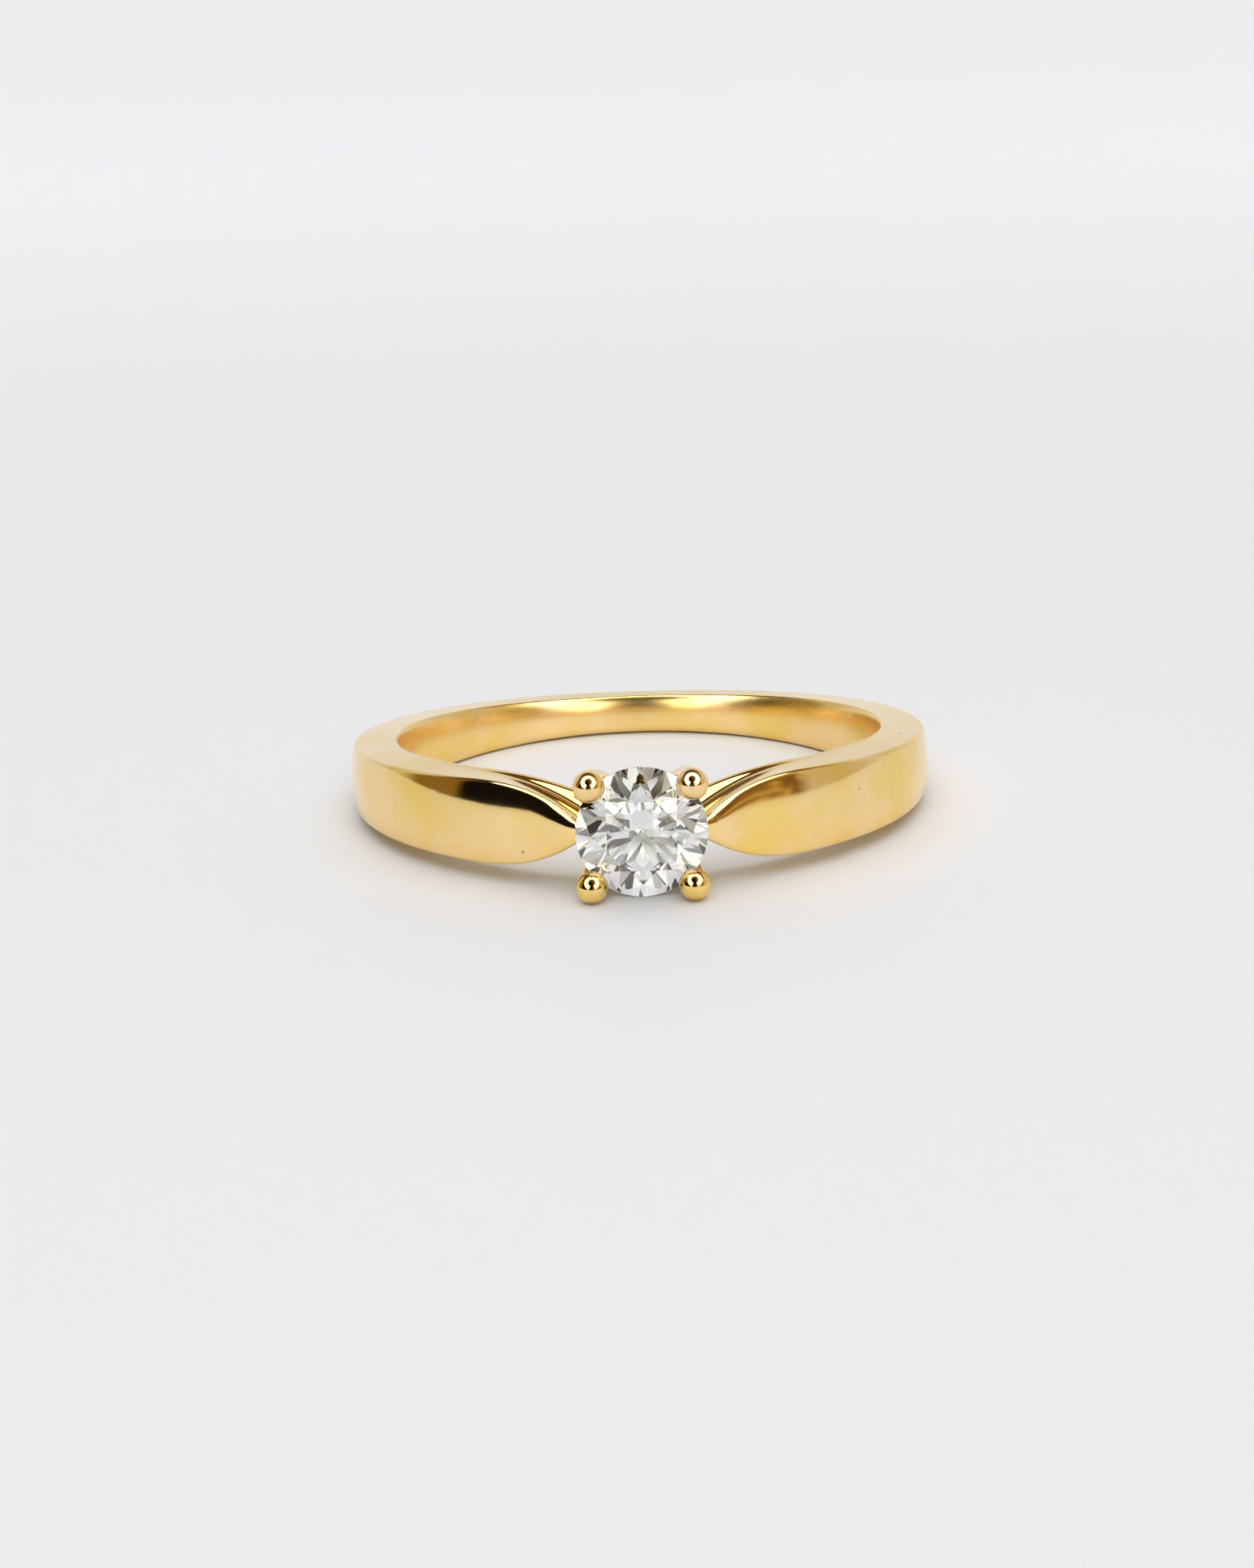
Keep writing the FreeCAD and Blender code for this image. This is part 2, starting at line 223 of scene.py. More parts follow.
def band_section(angle):
    """The corners of the band's upper half and its sizes, in the plane at this angle from the stone."""
    nearness = (180 - angle) / 140
    taper = (sqrt(nearness**2 + TAPER_ROUNDING**2) - TAPER_ROUNDING)
    taper /= sqrt(1 + TAPER_ROUNDING**2) - TAPER_ROUNDING
    half_width = BACK_HALF_WIDTH + (SHOULDER_HALF_WIDTH - BACK_HALF_WIDTH) * taper

    pinch = (PINCH_FULL_ANGLE - angle) / (PINCH_FULL_ANGLE - PINCH_TIP_ANGLE)
    pinch = min(1.0, max(0.0, pinch))
    edge_half = max(TIP_HALF_WIDTH, half_width * (1 - pinch**PINCH_POWER))
    lean = FLANK_LEAN * smooth_step((angle - 30) / 25) * smooth_step((170 - angle) / 60)
    inner_half = (half_width + lean) * (1 - FINGER_SIDE_PINCH * pinch**FINGER_SIDE_POWER)

    edge_radius = BAND_EDGE_RADIUS - BACK_THINNING * smooth_step((angle - 100) / 80)
    edge_radius += TIP_RISE * max(0.0, (45 - angle) / 35) ** 4

    slope = (edge_half - inner_half) / (edge_radius - FINGER_RADIUS)
    cove = COVE_DEPTH * min(1.0, max(0.0, (60 - angle) / 50)) ** 3
    rim = Vector((FINGER_RADIUS, inner_half))
    ledge = rim + LEDGE_WIDTH * Vector((1, slope))
    crease = ledge + (COVE_LEAST_RUN + COVE_RUN * cove) * Vector((1, slope)) - Vector((0, cove))
    crease.y = max(THINNEST_HALF, crease.y)
    edge = Vector((edge_radius, edge_half))
    flattening = smooth_step((angle - 11) / 12)
    crown_radius = TIP_CURVE_RADIUS + (CROWN_CURVE_RADIUS - TIP_CURVE_RADIUS) * flattening
    return rim, ledge, crease, edge, crown_radius


def band_profile(angle):
    """Points (radius, z) once round the band's section, with its edges softened by polishing."""
    rim, ledge, crease, edge, crown_radius = band_section(angle)
    half_turn = asin(min(0.95, edge.y / crown_radius))
    centre = edge.x - crown_radius * cos(half_turn)

    def on_crown(turn):
        return Vector((centre + crown_radius * cos(turn), crown_radius * sin(turn)))

    # the finger side swells a little, and its rim is rolled over
    comfort = COMFORT_SWELL * smooth_step((angle - 20) / 40)
    rim_rounding = RIM_ROUNDING + BACK_RIM_ROUNDING * smooth_step((angle - 70) / 60)
    crown_start = on_crown(half_turn - min(0.28, edge.y) / crown_radius)
    inside = Vector((FINGER_RADIUS, 0))
    rim_round = soften_corner(inside, rim, ledge, rim_rounding, 7)
    ledge_round = soften_corner(rim, ledge, crease, LEDGE_ROUNDING, 6)
    crease_round = soften_corner(ledge, crease, edge, CREASE_ROUNDING, 8)
    edge_round = soften_corner(crease, edge, crown_start, EDGE_ROUNDING, 8)
    upper = rim_round + spaced(rim_round[-1], ledge_round[0], 3) + ledge_round
    upper += spaced(ledge_round[-1], crease_round[0], 4) + crease_round
    upper += spaced(crease_round[-1], edge_round[0], 6) + edge_round
    last_turn = asin(min(0.95, edge_round[-1].y / crown_radius))
    crown_steps = 14
    upper += [on_crown(last_turn * (1 - i / crown_steps)) for i in range(1, crown_steps)]
    crest = Vector((centre + crown_radius, 0))
    lower = [Vector((point.x, -point.y)) for point in reversed(upper)]
    bore = spaced(lower[-1], upper[0], 16)

    def swollen(point):
        fading = max(0.0, 1 - (point.x - FINGER_RADIUS) / COMFORT_DEPTH)
        return point + Vector((comfort * fading * (point.y / rim.y) ** 2, 0))

    return [swollen(point) for point in upper + [crest] + lower + bore]


def spaced(start, end, count):
    """The points strictly between two ends of a straight stretch."""
    return [start.lerp(end, i / count) for i in range(1, count)]


def head_room(height):
    """How far from the head's axis the shank's end stays, at this height."""
    if height < COLLAR_TOP + SEAM:
        reach = COLLAR_OUTER_RADIUS + SEAM
    else:
        share = (height - COLLAR_TOP - SEAM) / (HEAD_SLOPE_HEIGHT - COLLAR_TOP - SEAM)
        reach = COLLAR_OUTER_RADIUS + SEAM + share * (HEAD_SLOPE_REACH - COLLAR_OUTER_RADIUS - SEAM)
    off_rail = abs(height - RAIL_HEIGHT)
    rail_radius = RAIL_WIRE_RADIUS + SEAM
    if off_rail < rail_radius:
        reach = max(reach, RAIL_REACH + sqrt(rail_radius**2 - off_rail**2))
    return reach


def around_ring(angle, point):
    turn = radians(angle)
    return Vector((point.x * sin(turn), -point.x * cos(turn), point.y))


def end_angle(index):
    """The angle at which one line along the band meets the head."""
    near, far = 5.0, 26.0
    for _ in range(22):
        middle = (near + far) / 2
        place = around_ring(middle, band_profile(middle)[index])
        if hypot(place.x, place.z) > head_room(-place.y):
            far = middle
        else:
            near = middle
    return far


def make_shank():
    steps = 230
    ends = [end_angle(index) for index in range(len(band_profile(90)))]
    right = []
    for i in range(steps + 1):
        share = i / steps
        share = share * (0.55 + 0.45 * share)    # finer near the head
        ring = []
        profiles = {}
        for index, first in enumerate(ends):
            angle = first + (180 - first) * share
            key = round(angle, 4)
            if key not in profiles:
                profiles[key] = band_profile(angle)
            ring.append(around_ring(angle, profiles[key][index]))
        right.append(ring)
    left = [[(-x, y, z) for x, y, z in ring] for ring in reversed(right[:-1])]
    return add_object("shank", skin("shank", right + left, cap_start=True, cap_end=True))


# ---- head --------------------------------------------------------------------------------------------

def make_claw(name, azimuth):
    """Round wire that leans out from its foot, turns upright beside the stone and ends in a ball."""
    bend = asin((CLAW_UPRIGHT_HEIGHT - CLAW_FOOT_HEIGHT) / CLAW_CURVE_RADIUS)
    arc_length = bend * CLAW_CURVE_RADIUS
    to_ball = arc_length + BALL_HEIGHT - CLAW_UPRIGHT_HEIGHT

    def station(distance):
        """A place on the wire's centre line and the direction across it."""
        if distance < arc_length:
            turn = bend - distance / CLAW_CURVE_RADIUS
            across = Vector((cos(turn), -sin(turn)))
            centre = Vector((CLAW_REACH - CLAW_CURVE_RADIUS, CLAW_UPRIGHT_HEIGHT))
            return centre + CLAW_CURVE_RADIUS * across, across
        return Vector((CLAW_REACH, CLAW_UPRIGHT_HEIGHT + distance - arc_length)), Vector((1, 0))

    def wire_radius(offset):
        """Radius at a distance along the wire from the ball's centre: wire, soft neck, ball."""
        ball = sqrt(max(0.0, BALL_RADIUS**2 - offset**2))
        if offset > 0:
            return ball
        sharpness = 14.0
        blend = (ball**sharpness + CLAW_WIRE_RADIUS**sharpness) ** (1 / sharpness)
        return min(blend, BALL_RADIUS)

    # evenly along the wire, then by equal turns round the ball from just below its middle
    wire_steps, ball_steps, around = 70, 40, 64
    near_ball = to_ball - 0.48
    distances = [to_ball * i / wire_steps for i in range(wire_steps + 1)]
    distances = [distance for distance in distances if distance < near_ball]
    for i in range(ball_steps):
        turn = pi / 2 * (1.75 * i / ball_steps - 0.75)
        distances.append(to_ball + BALL_RADIUS * sin(turn))
    rings = []
    for distance in distances:
        place, across = station(min(distance, to_ball))
        place.y += max(0.0, distance - to_ball)
        radius = wire_radius(distance - to_ball)
        ring = []
        for j in range(around):
            turn = 2 * pi * j / around
            flat = place + across * (radius * cos(turn))
            ring.append(head_point(flat.x, radius * sin(turn), flat.y, azimuth))
        rings.append(ring)
    rings.append([head_point(CLAW_REACH, 0, BALL_HEIGHT + BALL_RADIUS, azimuth)] * around)
    return add_object(name, skin(name, rings, cap_start=True))


def head_point(reach, aside, height, azimuth):
    turn = radians(azimuth)
    return Vector((reach * cos(turn) - aside * sin(turn), -height, reach * sin(turn) + aside * cos(turn)))


def stone_seat():
    """The stone's outline a hair larger, as the space cut for it in the claws."""
    half = GIRDLE_THICKNESS / 2
    rim = STONE_RADIUS + STONE_GAP
    lift = STONE_GAP * 1.3
    return [
        (0.0, GIRDLE_HEIGHT - half - lift - rim * PAVILION_SLOPE),
        (rim, GIRDLE_HEIGHT - half - lift),
        (rim, GIRDLE_HEIGHT + half + lift),
        (0.0, GIRDLE_HEIGHT + half + lift + rim * CROWN_SLOPE),
    ]


def wire_loop(reach, height, radius, steps=40):
    return [(reach + radius * cos(2 * pi * i / steps), height + radius * sin(2 * pi * i / steps))
            for i in range(steps)]


def cut_away(piece, cutters):
    for cutter in cutters:
        cut = piece.modifiers.new("cut", "BOOLEAN")
        cut.operation = "DIFFERENCE"
        cut.solver = "EXACT"
        cut.object = cutter
    bpy.context.view_layer.update()
    shaped = bpy.data.meshes.new_from_object(piece.evaluated_get(bpy.context.evaluated_depsgraph_get()))
    piece.modifiers.clear()
    piece.data = shaped
    shaped.shade_smooth()
    shaped.set_sharp_from_angle(angle=radians(32))


def make_rail():
    loop = wire_loop(RAIL_REACH, RAIL_HEIGHT, RAIL_WIRE_RADIUS)
    return add_object("gallery_rail", lathe("gallery_rail", loop))


def make_collar():
    """A short tube, softened at its top edges, whose foot follows the finger hole."""
    foot_height = 8.2
    outer_foot = Vector((COLLAR_OUTER_RADIUS, foot_height))
    inner_foot = Vector((COLLAR_INNER_RADIUS, foot_height))
    outer_top = Vector((COLLAR_OUTER_RADIUS, COLLAR_TOP))
    inner_top = Vector((COLLAR_INNER_RADIUS, COLLAR_TOP))
    top = soften_corner(outer_foot, outer_top, inner_top, 0.07, 6)
    top += soften_corner(outer_top, inner_top, inner_foot, 0.10, 6)
    steps = 160
    rings = []
    for i in range(steps):
        turn = 2 * pi * i / steps
        ring = []
        for reach in (COLLAR_INNER_RADIUS, COLLAR_OUTER_RADIUS):
            across = reach * cos(turn)
            ring.append((across, -sqrt(FINGER_RADIUS**2 - across**2), reach * sin(turn)))
        for k in (1, 2, 3):
            across = COLLAR_OUTER_RADIUS * cos(turn)
            foot = sqrt(FINGER_RADIUS**2 - across**2)
            height = foot + (top[0].y - foot) * k / 4
            ring.append((across, -height, COLLAR_OUTER_RADIUS * sin(turn)))
        ring += [(reach * cos(turn), -height, reach * sin(turn)) for reach, height in top]
        rings.append(ring)
    mesh = skin("base_collar", rings, closed_along=True)
    mesh.set_sharp_from_angle(angle=radians(40))
    return add_object("base_collar", mesh)


# ---- stone -------------------------------------------------------------------------------------------

def facet_rings():
    """The five rings of facets: how many, where the first one faces, and a point and slope of its plane."""
    half_step, quarter_step = cos(radians(22.5)), cos(radians(11.25))
    rim_top = GIRDLE_HEIGHT + GIRDLE_THICKNESS / 2
    rim_bottom = GIRDLE_HEIGHT - GIRDLE_THICKNESS / 2
    table_corner = STONE_RADIUS * TABLE_RATIO
    table_height = rim_top + (STONE_RADIUS - table_corner) * CROWN_SLOPE
    table_flat = table_corner * half_step
    star_tip = table_flat + (STONE_RADIUS - table_flat) * STAR_LENGTH
    star_tip_rise = (STONE_RADIUS - star_tip * half_step) * CROWN_SLOPE
    lower_tip = STONE_RADIUS * (1 - LOWER_HALF_LENGTH)
    lower_tip_drop = (STONE_RADIUS - lower_tip * half_step) * PAVILION_SLOPE
    rim_chord = STONE_RADIUS * quarter_step
    star_slope = (table_height - rim_top - star_tip_rise) / (star_tip - table_flat)
    upper_slope = star_tip_rise / (rim_chord - star_tip * quarter_step)
    lower_slope = lower_tip_drop / (rim_chord - lower_tip * quarter_step)
    rings = (
        (8, 22.5, STONE_RADIUS, rim_top, CROWN_SLOPE, 1),
        (8, 0.0, table_flat, table_height, star_slope, 1),
        (16, 11.25, rim_chord, rim_top, upper_slope, 1),
        (8, 22.5, STONE_RADIUS, rim_bottom, PAVILION_SLOPE, -1),
        (16, 11.25, rim_chord, rim_bottom, lower_slope, -1),
    )
    return rings, table_height


def make_diamond():
    """A round brilliant: a cylinder with its table, then cut by each facet's plane in turn."""
    rings, table_height = facet_rings()
    culet = GIRDLE_HEIGHT - GIRDLE_THICKNESS / 2 - STONE_RADIUS * PAVILION_SLOPE
    steps = 256
    circle = [(STONE_RADIUS * cos(2 * pi * i / steps), STONE_RADIUS * sin(2 * pi * i / steps))
              for i in range(steps)]
    rims = [[(x, -height, z) for x, z in circle] for height in (culet - 0.1, table_height)]
    blank = skin("diamond", rims, cap_start=True, cap_end=True)
    stone = bmesh.new()
    stone.from_mesh(blank)
    for count, first, reach, height, slope, side in rings:
        for i in range(count):
            turn = radians(first + 360 * i / count)
            outward = Vector((cos(turn), 0, sin(turn)))
            normal = (outward * slope + Vector((0, -side, 0))).normalized()
            place = (outward * reach + Vector((0, -height, 0))) * MM
            parts = stone.verts[:] + stone.edges[:] + stone.faces[:]
            bmesh.ops.bisect_plane(stone, geom=parts, dist=1e-8, plane_co=place, plane_no=normal,
                                   clear_outer=True)
            rim = [edge for edge in stone.edges if edge.is_boundary]
            bmesh.ops.contextual_create(stone, geom=rim)
    bmesh.ops.remove_doubles(stone, verts=stone.verts, dist=2e-7)
    bmesh.ops.dissolve_limit(stone, angle_limit=radians(0.05), verts=stone.verts, edges=stone.edges)
    bmesh.ops.recalc_face_normals(stone, faces=stone.faces)
    stone.to_mesh(blank)
    stone.free()
    blank.shade_flat()
    return add_object("diamond", blank)


# ---- materials ---------------------------------------------------------------------------------------

def new_material(name):
    material = bpy.data.materials.new(name)
    material.use_nodes = True
    nodes = material.node_tree.nodes
    shader = next(node for node in nodes if node.type == "BSDF_PRINCIPLED")
    return material, material.node_tree, shader


POLISH_RELIEF = 0.004 * MM


def polish_group():
    """What hand polishing leaves on cast gold: slow waves, a fine haze, hairlines and a few pits."""
    tree = bpy.data.node_groups.new("hand_polish", "ShaderNodeTree")
    face = tree.interface
    for name, value in (("Wave Depth", 0.5), ("Haze", 0.06), ("Smoothness", 0.08), ("Pit Depth", 0.5)):
        face.new_socket(name, in_out="INPUT", socket_type="NodeSocketFloat").default_value = value
    face.new_socket("Colour", in_out="INPUT", socket_type="NodeSocketColor")
    face.new_socket("Colour", in_out="OUTPUT", socket_type="NodeSocketColor")
    face.new_socket("Roughness", in_out="OUTPUT", socket_type="NodeSocketFloat")
    face.new_socket("Normal", in_out="OUTPUT", socket_type="NodeSocketVector")
    node, link = tree.nodes.new, tree.links.new
    given, result = node("NodeGroupInput"), node("NodeGroupOutput")
    place = node("ShaderNodeTexCoord")

    def noise(scale, detail, roughness):
        texture = node("ShaderNodeTexNoise")
        texture.inputs["Scale"].default_value = scale
        texture.inputs["Detail"].default_value = detail
        texture.inputs["Roughness"].default_value = roughness
        link(place.outputs["Object"], texture.inputs["Vector"])
        return texture.outputs["Fac"]

    def ramp(source, low, high, low_value=0.0, high_value=1.0):
        spread = node("ShaderNodeMapRange")
        spread.interpolation_type = "SMOOTHSTEP"
        for name, value in (("From Min", low), ("From Max", high),
                            ("To Min", low_value), ("To Max", high_value)):
            spread.inputs[name].default_value = value
        link(source, spread.inputs["Value"])
        return spread.outputs["Result"]

    def math(kind, first, second):
        step = node("ShaderNodeMath")
        step.operation = kind
        for index, item in enumerate((first, second)):
            if isinstance(item, (int, float)):
                step.inputs[index].default_value = item
            else:
                link(item, step.inputs[index])
        return step.outputs[0]

    # slow waves, a few tenths of a millimetre to a millimetre across
    waves = noise(620, 1.5, 0.5)
    ripple = noise(2600, 2.0, 0.5)
    height = math("ADD", waves, math("MULTIPLY", ripple, 0.20))
    height = math("MULTIPLY", height, given.outputs["Wave Depth"])

    # pits, where a cell's point falls close by
    cells = node("ShaderNodeTexVoronoi")
    cells.inputs["Scale"].default_value = 1900
    link(place.outputs["Object"], cells.inputs["Vector"])
    near_point = ramp(cells.outputs["Distance"], 0.05, 0.16, 1.0, 0.0)
    chosen = math("GREATER_THAN", noise(500, 0.0, 0.5), 0.66)
    pits = math("MULTIPLY", near_point, chosen)
    height = math("SUBTRACT", height, math("MULTIPLY", pits, given.outputs["Pit Depth"]))

    bump = node("ShaderNodeBump")
    bump.inputs["Strength"].default_value = 1.0
    bump.inputs["Distance"].default_value = POLISH_RELIEF
    link(height, bump.inputs["Height"])
    link(bump.outputs["Normal"], result.inputs["Normal"])

    # haze in patches, and hairlines that run round the band
    patches = ramp(noise(260, 3.0, 0.6), 0.40, 0.68)
    stretch = node("ShaderNodeMapping")
    stretch.inputs["Scale"].default_value = (1.0, 1.0, 14.0)
    link(place.outputs["Object"], stretch.inputs["Vector"])
    hairs = node("ShaderNodeTexNoise")
    hairs.inputs["Scale"].default_value = 1500
    hairs.inputs["Detail"].default_value = 4.0
    link(stretch.outputs["Vector"], hairs.inputs["Vector"])
    hairlines = ramp(hairs.outputs["Fac"], 0.58, 0.72)
    rough = math("ADD", math("MULTIPLY", patches, given.outputs["Haze"]), given.outputs["Smoothness"])
    rough = math("ADD", rough, math("MULTIPLY", hairlines, 0.03))
    rough = math("ADD", rough, math("MULTIPLY", pits, 0.25))
    link(rough, result.inputs["Roughness"])

    # the alloy's colour drifts slightly, and the pits are darkened towards brown
    tint = node("ShaderNodeMix")
    tint.data_type = "RGBA"
    tint.blend_type = "MULTIPLY"
    tint.inputs["Factor"].default_value = 1.0
    shade = node("ShaderNodeCombineColor")
    drift = noise(480, 3.0, 0.55)
    link(ramp(drift, 0.3, 0.7, 0.95, 1.0), shade.inputs[0])
    link(ramp(drift, 0.3, 0.7, 0.93, 1.0), shade.inputs[1])
    link(ramp(drift, 0.3, 0.7, 0.62, 1.15), shade.inputs[2])
    link(given.outputs["Colour"], tint.inputs["A"])
    link(shade.outputs[0], tint.inputs["B"])
    # pits are darkened towards a dark brown, in proportion to their depth mask
    pit_darkening = node("ShaderNodeMix")
    pit_darkening.data_type = "RGBA"
    pit_darkening.blend_type = "MIX"
    pit_darkening.inputs["B"].default_value = (0.16, 0.09, 0.03, 1)
    link(math("MULTIPLY", pits, 0.7), pit_darkening.inputs["Factor"])
    link(tint.outputs["Result"], pit_darkening.inputs["A"])
    link(pit_darkening.outputs["Result"], result.inputs["Colour"])
    return tree


def gold_material(name, colour, smoothness=0.07, haze=0.05, wave_depth=1.5):
    material, tree, shader = new_material(name)
    shader.inputs["Metallic"].default_value = 1.0
    polish = tree.nodes.new("ShaderNodeGroup")
    polish.node_tree = bpy.data.node_groups.get("hand_polish") or polish_group()
    polish.inputs["Colour"].default_value = (*colour, 1)
    polish.inputs["Smoothness"].default_value = smoothness
    polish.inputs["Haze"].default_value = haze
    polish.inputs["Wave Depth"].default_value = wave_depth
    polish.inputs["Pit Depth"].default_value = 1.0
    tree.links.new(polish.outputs["Colour"], shader.inputs["Base Color"])
    tree.links.new(polish.outputs["Roughness"], shader.inputs["Roughness"])
    tree.links.new(polish.outputs["Normal"], shader.inputs["Normal"])
    return material


def diamond_material():
    material, _, shader = new_material("polished_diamond")
    shader.inputs["Base Color"].default_value = (1, 1, 1, 1)
    shader.inputs["Roughness"].default_value = 0.0
    shader.inputs["IOR"].default_value = DIAMOND_INDEX
    shader.inputs["Transmission Weight"].default_value = 1.0
    return material


# ---- assembly ----------------------------------------------------------------------------------------

YELLOW_GOLD = (0.96, 0.705, 0.31)
SOLDER_GOLD = (0.93, 0.70, 0.33)
yellow_gold = gold_material("polished_yellow_gold", YELLOW_GOLD)
worn_gold = gold_material("finger_worn_gold", YELLOW_GOLD, smoothness=0.24, haze=0.08)
solder_gold = gold_material("gold_solder", SOLDER_GOLD, smoothness=0.16, haze=0.10, wave_depth=2.0)
clear_diamond = diamond_material()


def brush_finger_side(shank, material):
    """Gives the faces next to the finger their own, duller finish."""
    shank.data.materials.append(material)
    for face in shank.data.polygons:
        outward = Vector((face.center.x, face.center.y, 0))
        faces_finger = face.normal.dot(outward.normalized()) < -0.3
        if faces_finger and outward.length < (FINGER_RADIUS + FINGER_WEAR_DEPTH) * MM:
            face.material_index = 1


def finish_piece(piece, material, slot, *nodes):
    piece.data.materials.clear()
    piece.data.materials.append(material)
    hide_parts(*nodes)
    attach(piece, "root")


shank = make_shank()
finish_piece(shank, yellow_gold, "gold", "shank")
brush_finger_side(shank, worn_gold)
finish_piece(make_rail(), yellow_gold, "gold", "gallery_rail")
finish_piece(make_collar(), yellow_gold, "gold", "base_collar")
finish_piece(make_diamond(), clear_diamond, "diamond", "diamond")

rail_room = wire_loop(RAIL_REACH, RAIL_HEIGHT, RAIL_WIRE_RADIUS + SEAM)
below_feet = 7.8
collar_side, collar_lid = COLLAR_OUTER_RADIUS + SEAM, COLLAR_TOP + SEAM
collar_room = [(0.0, below_feet), (collar_side, below_feet), (collar_side, collar_lid), (0.0, collar_lid)]
cutters = [
    add_object("stone_cutter", lathe("stone_cutter", stone_seat())),
    add_object("rail_cutter", lathe("rail_cutter", rail_room)),
    add_object("collar_cutter", lathe("collar_cutter", collar_room)),
]
for name, azimuth in CLAWS.items():
    claw = make_claw(name, azimuth)
    cut_away(claw, cutters)
    finish_piece(claw, yellow_gold, "gold", name)
for cutter in cutters:
    bpy.data.objects.remove(cutter)

SEAMS = ("solder_shank_to_collar", "solder_shank_to_rail", "solder_claws_to_rail", "solder_claws_to_collar")
for name in SEAMS:
    seam = frame["nodes"][name]
    for holder in [seam, *seam.children_recursive]:
        for slot in holder.material_slots:
            slot.material = solder_gold


# ---- stage and light ---------------------------------------------------------------------------------

# The ring lies on two ball tips and on the back of its shank, so its frame leans on the floor.
BACK_REST = Vector((0, BAND_EDGE_RADIUS - BACK_THINNING, -BACK_HALF_WIDTH))
BALL_REST = Vector((0, -BALL_HEIGHT, -CLAW_REACH * sin(radians(45))))
LEAN = atan2(BACK_REST.z - BALL_REST.z, BACK_REST.y - BALL_REST.y)
LEAN += asin(BALL_RADIUS / (BACK_REST - BALL_REST).length)

FLOOR_HALF_WIDTH = 900
FLOOR_FRONT, FLOOR_BEND, BEND_RADIUS = -900, 250, 200

LAMP_DISTANCE = 120
LAMP_ELEVATION = 46
LAMP_INNER_ANGLE, LAMP_OUTER_ANGLE = 24, 50
LAMP_GAP = 56


def make_floor():
    """A sheet of pale paper that lies level under the ring and curves up behind it."""
    along = Vector((0, cos(LEAN), sin(LEAN)))
    up = Vector((0, -sin(LEAN), cos(LEAN)))
    rest = BACK_REST - up * 0.01
    rows = [rest + along * distance + up * rise for distance, rise in sweep_line()]
    points = []
    faces = []
    columns = 25
    for row in rows:
        for j in range(columns):
            aside = FLOOR_HALF_WIDTH * (2 * j / (columns - 1) - 1)
            points.append((row + Vector((aside, 0, 0))) * MM)
    for i in range(len(rows) - 1):
        for j in range(columns - 1):
            a = i * columns + j
            faces.append((a, a + 1, a + columns + 1, a + columns))
    mesh = bpy.data.meshes.new("floor")
    mesh.from_pydata(points, [], faces)
    mesh.shade_smooth()
    floor = add_object("floor", mesh)
    material, _, shader = new_material("pale_paper")
    shader.inputs["Base Color"].default_value = (0.86, 0.885, 0.925, 1)
    shader.inputs["Roughness"].default_value = 0.6
    mesh.materials.append(material)


def sweep_line():
    """The floor's line from front to back: level, then curving up into a backdrop."""
    level = [(FLOOR_FRONT + (FLOOR_BEND - FLOOR_FRONT) * i / 12, 0.0) for i in range(13)]
    turns = [radians(step) for step in range(6, 91, 6)]
    bend = [(FLOOR_BEND + BEND_RADIUS * sin(turn), BEND_RADIUS * (1 - cos(turn))) for turn in turns]
    wall = [(FLOOR_BEND + BEND_RADIUS, BEND_RADIUS + 60 * i) for i in range(1, 4)]
    return level + bend + wall


def ring_lamp():
    """A broad ring of light over the front of the ring, open at its lowest part."""
    elevation = radians(LAMP_ELEVATION)
    centre_direction = Vector((0, -cos(elevation), sin(elevation)))
    inner = LAMP_DISTANCE * tan(radians(LAMP_INNER_ANGLE))
    outer = LAMP_DISTANCE * tan(radians(LAMP_OUTER_ANGLE))
    side = Vector((1, 0, 0))
    up = centre_direction.cross(side)
    points = []
    steps = 96
    for i in range(steps + 1):
        turn = radians(-90 + LAMP_GAP / 2 + (360 - LAMP_GAP) * i / steps)
        ray = side * cos(turn) + up * sin(turn)
        points += [(centre_direction * LAMP_DISTANCE + ray * reach) * MM for reach in (inner, outer)]
    faces = [(2 * i, 2 * i + 1, 2 * i + 3, 2 * i + 2) for i in range(steps)]
    mesh = bpy.data.meshes.new("ring_lamp")
    mesh.from_pydata(points, [], faces)
    lamp = add_object("ring_lamp", mesh)
    material, _, shader = new_material("lamp_diffuser")
    shader.inputs["Base Color"].default_value = (0, 0, 0, 1)
    shader.inputs["Emission Color"].default_value = (1, 0.97, 0.93, 1)
    shader.inputs["Emission Strength"].default_value = 3.0
    mesh.materials.append(material)
    lamp.visible_camera = False
    lamp.visible_diffuse = False
    lamp.visible_transmission = False


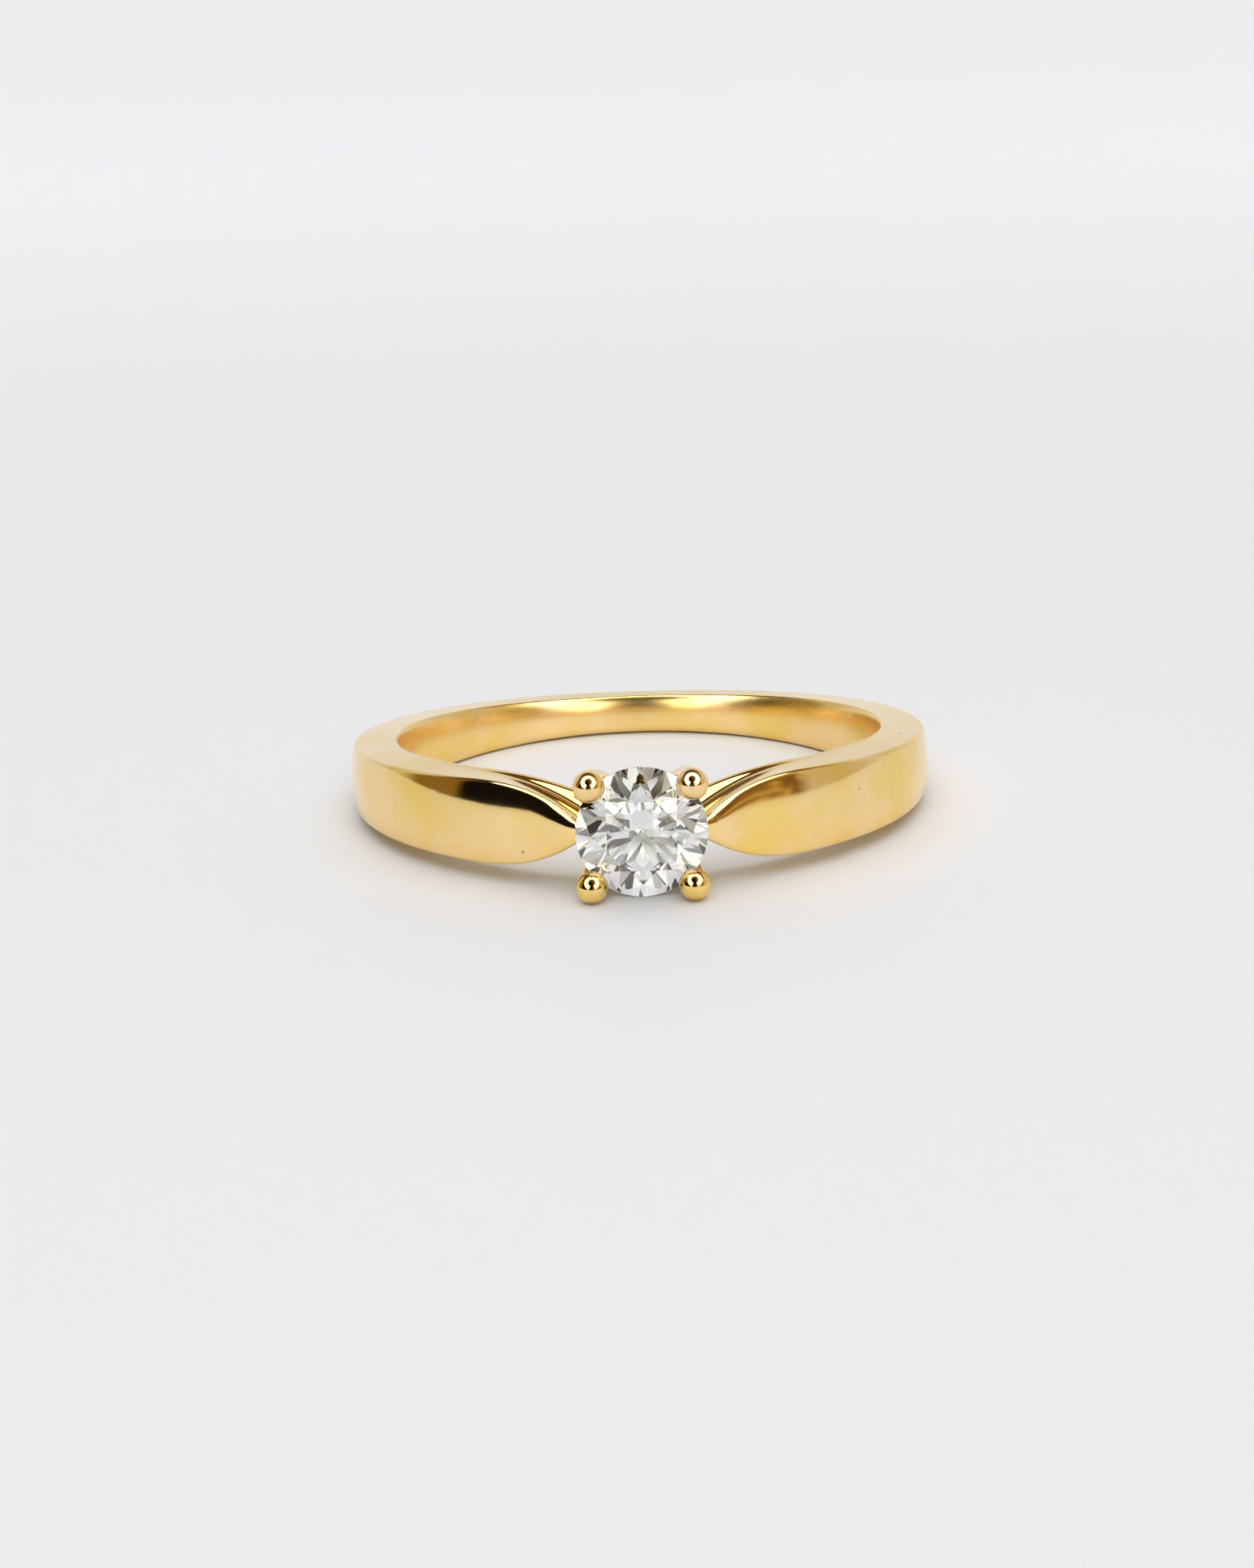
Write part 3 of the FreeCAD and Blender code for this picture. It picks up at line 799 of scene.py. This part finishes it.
def make_world():
    """The room that the gold mirrors: dim, pale behind the ring, warm and cluttered on its right."""
    world = bpy.data.worlds.new("studio")
    bpy.context.scene.world = world
    world.use_nodes = True
    tree = world.node_tree
    node, link = tree.nodes.new, tree.links.new
    direction = node("ShaderNodeTexCoord")
    split = node("ShaderNodeSeparateXYZ")
    link(direction.outputs["Generated"], split.inputs[0])

    def fade(source, low, high):
        spread = node("ShaderNodeMapRange")
        spread.interpolation_type = "SMOOTHSTEP"
        spread.inputs["From Min"].default_value = low
        spread.inputs["From Max"].default_value = high
        link(source, spread.inputs["Value"])
        return spread.outputs["Result"]

    def times(first, second):
        step = node("ShaderNodeMath")
        step.operation = "MULTIPLY"
        link(first, step.inputs[0])
        link(second, step.inputs[1])
        return step.outputs[0]

    def layer(below, colour, share):
        mix = node("ShaderNodeMix")
        mix.data_type = "RGBA"
        for socket, item in (("A", below), ("B", colour)):
            if isinstance(item, tuple):
                mix.inputs[socket].default_value = (*item, 1)
            else:
                link(item, mix.inputs[socket])
        link(share, mix.inputs["Factor"])
        return mix.outputs["Result"]

    def noise(scale, detail):
        texture = node("ShaderNodeTexNoise")
        texture.inputs["Scale"].default_value = scale
        texture.inputs["Detail"].default_value = detail
        link(direction.outputs["Generated"], texture.inputs["Vector"])
        return texture.outputs["Fac"]

    x, y, z = split.outputs
    right, low = fade(x, 0.05, 0.30), fade(z, 0.72, 0.50)
    clutter = times(right, fade(noise(15.0, 3.0), 0.50, 0.64))
    overhead = fade(z, 0.74, 0.90)
    side_wall = times(fade(y, -0.27, -0.18), low)
    right_wall = times(fade(y, -0.42, -0.30), times(right, low))
    behind = times(fade(y, 0.10, 0.40), fade(z, 0.80, 0.62))
    room = layer((0.006, 0.005, 0.005), (0.17, 0.075, 0.015), right)
    room = layer(room, (0.85, 0.60, 0.18), clutter)
    room = layer(room, (0.13, 0.065, 0.02), overhead)
    room = layer(room, (0.24, 0.15, 0.035), side_wall)
    room = layer(room, (0.62, 0.55, 0.44), right_wall)
    room = layer(room, (0.72, 0.70, 0.67), behind)

    # the stone gathers light from all round, so what it lets through shows a busier, paler room
    pale = layer((0.08, 0.07, 0.055), (0.60, 0.59, 0.51), fade(noise(22.0, 4.0), 0.40, 0.57))
    sparks = fade(noise(7.0, 3.0), 0.51, 0.56)
    pale = layer(pale, (1.25, 1.25, 1.18), sparks)
    path = node("ShaderNodeLightPath")
    room = layer(room, pale, path.outputs["Is Transmission Ray"])
    room = layer(room, (0.80, 0.80, 0.81), path.outputs["Is Camera Ray"])
    background = tree.nodes["Background"]
    link(room, background.inputs["Color"])
    background.inputs["Strength"].default_value = 1.0


def fill_light(name, place, towards, size, energy):
    """A broad lamp, placed in metres, that lights the paper but isn't mirrored in the metal."""
    data = bpy.data.lights.new(name, "AREA")
    data.shape = "DISK"
    data.size = size
    data.energy = energy
    data.color = (0.945, 0.975, 1.0)
    lamp = bpy.data.objects.new(name, data)
    lamp.location = place
    lamp.rotation_euler = (Vector(towards) - Vector(place)).to_track_quat("-Z", "Y").to_euler()
    lamp.visible_camera = False
    lamp.visible_glossy = False
    lamp.visible_transmission = False
    bpy.context.scene.collection.objects.link(lamp)


bpy.context.scene.view_settings.view_transform = "Standard"
make_floor()
ring_lamp()
make_world()
fill_light("overhead", (0, -0.2, 1.6), (0, 0, 0), 3.0, 34.5)
fill_light("backdrop_wash", (0, -1.4, 0.7), (0, 0.5, 0.15), 1.6, 9.5)
